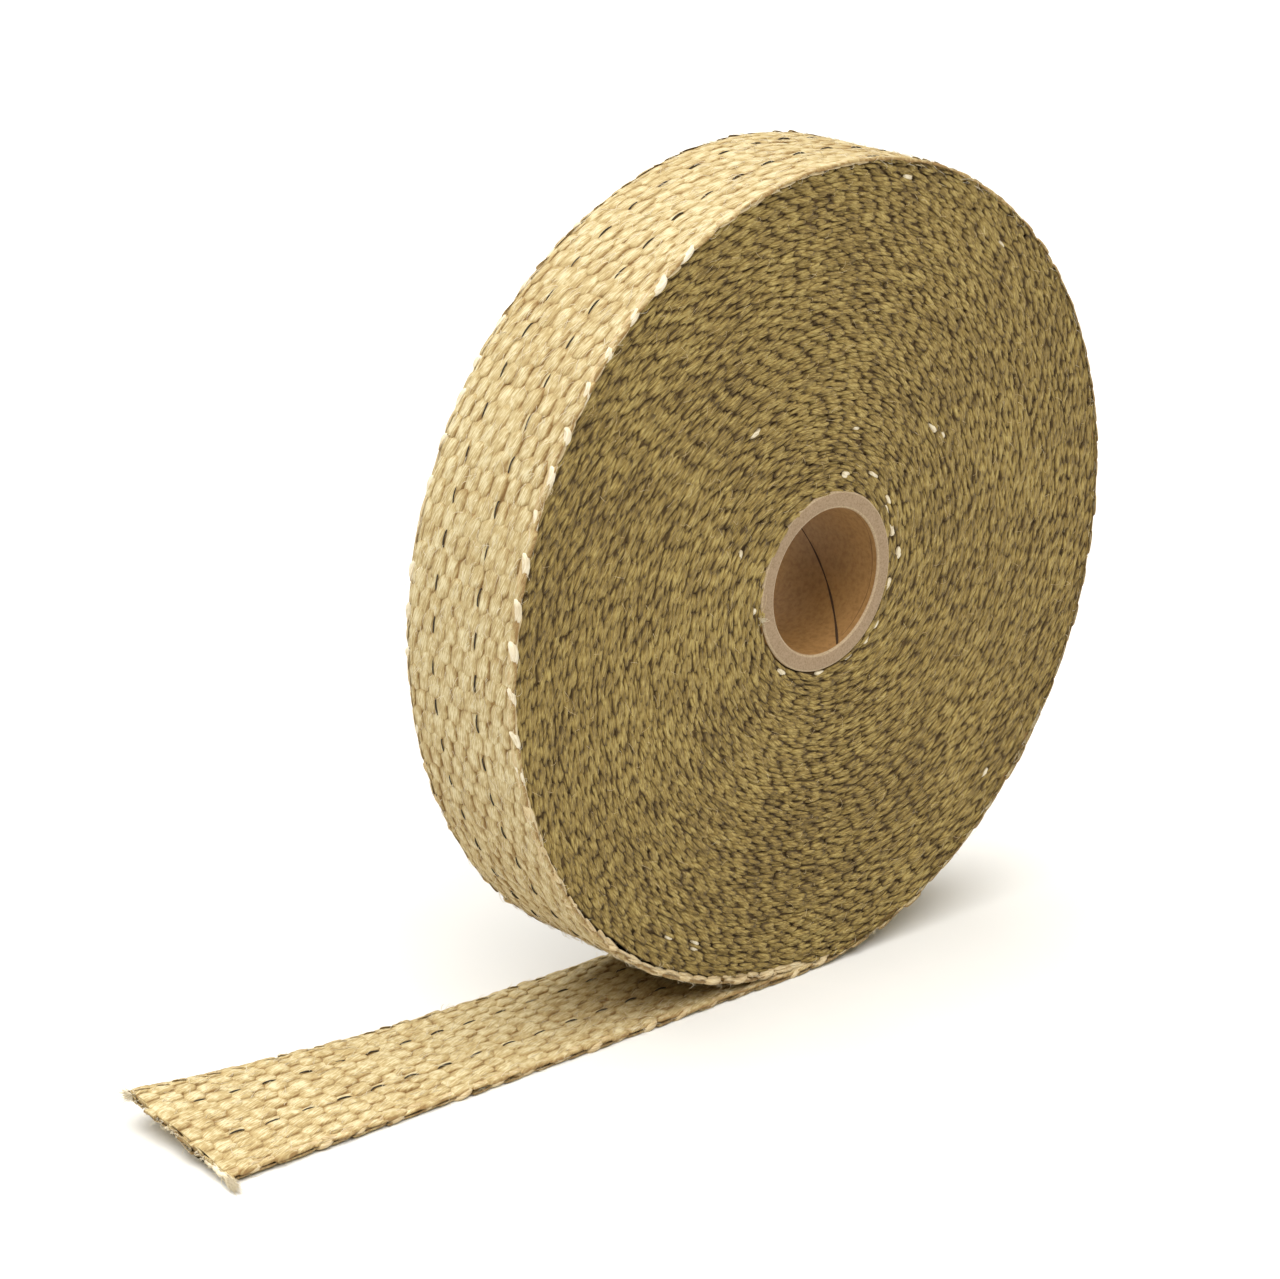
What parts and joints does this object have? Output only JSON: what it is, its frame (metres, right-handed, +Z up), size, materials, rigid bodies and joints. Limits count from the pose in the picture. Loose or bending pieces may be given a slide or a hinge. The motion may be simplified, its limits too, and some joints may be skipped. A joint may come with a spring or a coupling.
{
  "type": "roll of exhaust heat wrap",
  "caption": "Roll of woven glass-fibre heat wrap tape on a paper core, standing on its rim with its free end laid out flat.",
  "frame": {"origin": "on the floor straight below the roll's axis, halfway across the tape's width, on the underside of the free end", "axes": "+Y along the roll's axis, away from the end the picture shows; the free end runs out along -X; +Z up"},
  "size_m": [0.1978, 0.0254, 0.1466],
  "materials": {
    "woven_glass_fibre": "matt woven glass-fibre yarn, tan, with a soft sheen along the yarns and fine dark tracer threads",
    "paper_tube": "plain brown spiral-wound paper, slightly fibrous"
  },
  "bodies": {
    "root": {"heat_wrap_tape": "woven_glass_fibre", "paper_core": "paper_tube"}
  },
  "joints": []
}
